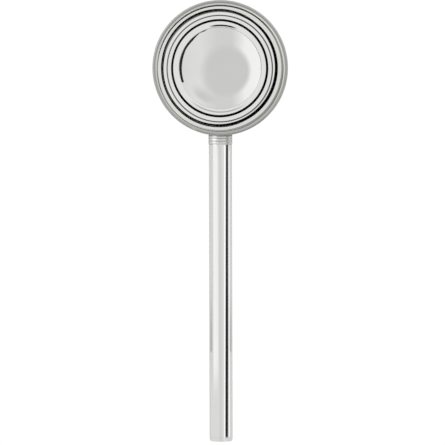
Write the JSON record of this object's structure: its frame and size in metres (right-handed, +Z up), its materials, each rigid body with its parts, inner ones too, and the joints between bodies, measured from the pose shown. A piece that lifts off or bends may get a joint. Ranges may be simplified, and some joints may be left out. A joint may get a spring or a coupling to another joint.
{
  "type": "soup ladle",
  "caption": "Soup ladle with a deep round polished steel bowl and a straight hollow round handle level with its mouth, lying as it is put down on a table.",
  "frame": {"origin": "on the table, below the middle of the ladle's length: the bottom centre of its box", "axes": "+Z up from the table, +Y from the handle's end towards the bowl, +X to the right for someone looking along +Y"},
  "size_m": [0.094, 0.3064, 0.0343],
  "materials": {
    "bowl_steel": "polished",
    "handle_steel": "polished",
    "turned_steel": "satin",
    "silicone": "matte"
  },
  "bodies": {
    "root": {"bowl": "bowl_steel", "neck_stud": "turned_steel", "collar": "handle_steel", "seal_washer": "silicone", "front_bush": "turned_steel", "handle_tube": "handle_steel", "end_cap": "handle_steel", "cap_seal": "silicone"}
  },
  "joints": []
}
